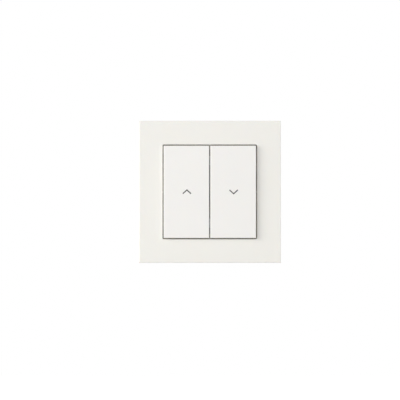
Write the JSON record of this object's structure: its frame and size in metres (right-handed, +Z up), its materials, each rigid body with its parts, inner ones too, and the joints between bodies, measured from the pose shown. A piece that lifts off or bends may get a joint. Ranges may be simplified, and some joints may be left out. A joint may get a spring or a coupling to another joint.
{
  "type": "roller shutter switch",
  "caption": "Flush roller shutter switch with side-by-side up and down keys in a square frame, on a strap with fixing claws and a rear terminal block.",
  "frame": {"origin": "centre of the 60 mm box screw pattern, in the plane of the wall", "axes": "+X to the right, +Z up, +Y into the wall; the keys face -Y"},
  "size_m": [0.084, 0.0412, 0.084],
  "materials": {
    "frame_plastic": "satin moulded",
    "key_plastic": "satin moulded",
    "inner_plastic": "plain moulded",
    "release_plastic": "plain moulded",
    "base_plastic": "plain moulded",
    "terminal_plastic": "plain moulded",
    "clip_plastic": "plain moulded",
    "contact_metal": "stamped",
    "spring_steel": "bright drawn",
    "screw_steel": "zinc plated",
    "strap_steel": "zinc plated"
  },
  "bodies": {
    "insert": {"base_housing": "base_plastic", "bearing_plate": "base_plastic", "clamp_spring_1": "spring_steel", "clamp_spring_2": "spring_steel", "clamp_spring_3": "spring_steel", "clamp_spring_4": "spring_steel", "common_busbar": "contact_metal", "cover_frame": "frame_plastic", "down_busbar": "contact_metal", "down_pivot_pin": "screw_steel", "down_return_spring": "spring_steel", "frame_clips": "clip_plastic", "housing_screws": "screw_steel", "mounting_strap": "strap_steel", "terminal_cover": "terminal_plastic", "up_busbar": "contact_metal", "up_pivot_pin": "screw_steel", "up_return_spring": "spring_steel"},
    "up_key": {"up_rocker": "key_plastic", "up_lever": "inner_plastic"},
    "down_key": {"down_rocker": "key_plastic", "down_lever": "inner_plastic"},
    "up_plunger": {"up_slider": "inner_plastic", "up_contact_bridge": "contact_metal"},
    "down_plunger": {"down_slider": "inner_plastic", "down_contact_bridge": "contact_metal"},
    "left_claw_screw": {"claw_screw_left": "screw_steel"},
    "right_claw_screw": {"claw_screw_right": "screw_steel"},
    "left_claw_nut": {"claw_nut_left": "screw_steel"},
    "right_claw_nut": {"claw_nut_right": "screw_steel"},
    "left_claw": {"claw_left": "strap_steel"},
    "right_claw": {"claw_right": "strap_steel"},
    "release_1": {"release_lever_1": "release_plastic"},
    "release_2": {"release_lever_2": "release_plastic"},
    "release_3": {"release_lever_3": "release_plastic"},
    "release_4": {"release_lever_4": "release_plastic"}
  },
  "joints": [
    {"name": "up_key_tilt", "type": "hinge", "parent": "insert", "child": "up_key", "pos_m": [-0.0138, -0.006, 0], "axis": [1, 0, 0], "range_deg": [0, 3], "stiffness_Nm_per_rad": 0.6, "springref_deg": -3.44, "deforming": ["up_return_spring"]},
    {"name": "up_plunger_slide", "type": "slide", "parent": "insert", "child": "up_plunger", "axis": [0, 1, 0], "range_m": [0, 0.00085], "deforming": ["up_return_spring"]},
    {"name": "down_key_tilt", "type": "hinge", "parent": "insert", "child": "down_key", "pos_m": [0.0138, -0.006, 0], "axis": [1, 0, 0], "range_deg": [0, 3], "stiffness_Nm_per_rad": 0.6, "springref_deg": -3.44, "deforming": ["down_return_spring"]},
    {"name": "down_plunger_slide", "type": "slide", "parent": "insert", "child": "down_plunger", "axis": [0, 1, 0], "range_m": [0, 0.00085], "deforming": ["down_return_spring"]},
    {"name": "release_press_1", "type": "slide", "parent": "insert", "child": "release_1", "axis": [0, -1, 0], "range_m": [0, 0.0012], "stiffness_N_per_m": 500, "springref_m": -0.0005, "deforming": ["clamp_spring_1"]},
    {"name": "release_press_2", "type": "slide", "parent": "insert", "child": "release_2", "axis": [0, -1, 0], "range_m": [0, 0.0012], "stiffness_N_per_m": 500, "springref_m": -0.0005, "deforming": ["clamp_spring_2"]},
    {"name": "release_press_3", "type": "slide", "parent": "insert", "child": "release_3", "axis": [0, -1, 0], "range_m": [0, 0.0012], "stiffness_N_per_m": 500, "springref_m": -0.0005, "deforming": ["clamp_spring_3"]},
    {"name": "release_press_4", "type": "slide", "parent": "insert", "child": "release_4", "axis": [0, -1, 0], "range_m": [0, 0.0012], "stiffness_N_per_m": 500, "springref_m": -0.0005, "deforming": ["clamp_spring_4"]},
    {"name": "left_claw_screw_turn", "type": "hinge", "parent": "insert", "child": "left_claw_screw", "pos_m": [-0.0242, 0, 0], "axis": [0, 1, 0], "range_deg": [0, 5150]},
    {"name": "left_claw_nut_slide", "type": "slide", "parent": "insert", "child": "left_claw_nut", "axis": [0, -1, 0], "range_m": [0, 0.0086]},
    {"name": "left_claw_swing", "type": "hinge", "parent": "insert", "child": "left_claw", "pos_m": [-0.0196, 0.007, 0], "axis": [0, 0, 1], "range_deg": [0, 24]},
    {"name": "right_claw_screw_turn", "type": "hinge", "parent": "insert", "child": "right_claw_screw", "pos_m": [0.0242, 0, 0], "axis": [0, 1, 0], "range_deg": [0, 5150]},
    {"name": "right_claw_nut_slide", "type": "slide", "parent": "insert", "child": "right_claw_nut", "axis": [0, -1, 0], "range_m": [0, 0.0086]},
    {"name": "right_claw_swing", "type": "hinge", "parent": "insert", "child": "right_claw", "pos_m": [0.0196, 0.007, 0], "axis": [0, 0, -1], "range_deg": [0, 24]}
  ],
  "couplings": [
    {"joint": "up_plunger_slide", "follows": "up_key_tilt", "m_per_rad": 0.015},
    {"joint": "down_plunger_slide", "follows": "down_key_tilt", "m_per_rad": 0.015},
    {"joint": "left_claw_nut_slide", "follows": "left_claw_screw_turn", "m_per_rad": 0.000095493},
    {"joint": "left_claw_swing", "follows": "left_claw_screw_turn", "ratio": 0.0046512},
    {"joint": "right_claw_nut_slide", "follows": "right_claw_screw_turn", "m_per_rad": 0.000095493},
    {"joint": "right_claw_swing", "follows": "right_claw_screw_turn", "ratio": 0.0046512}
  ]
}
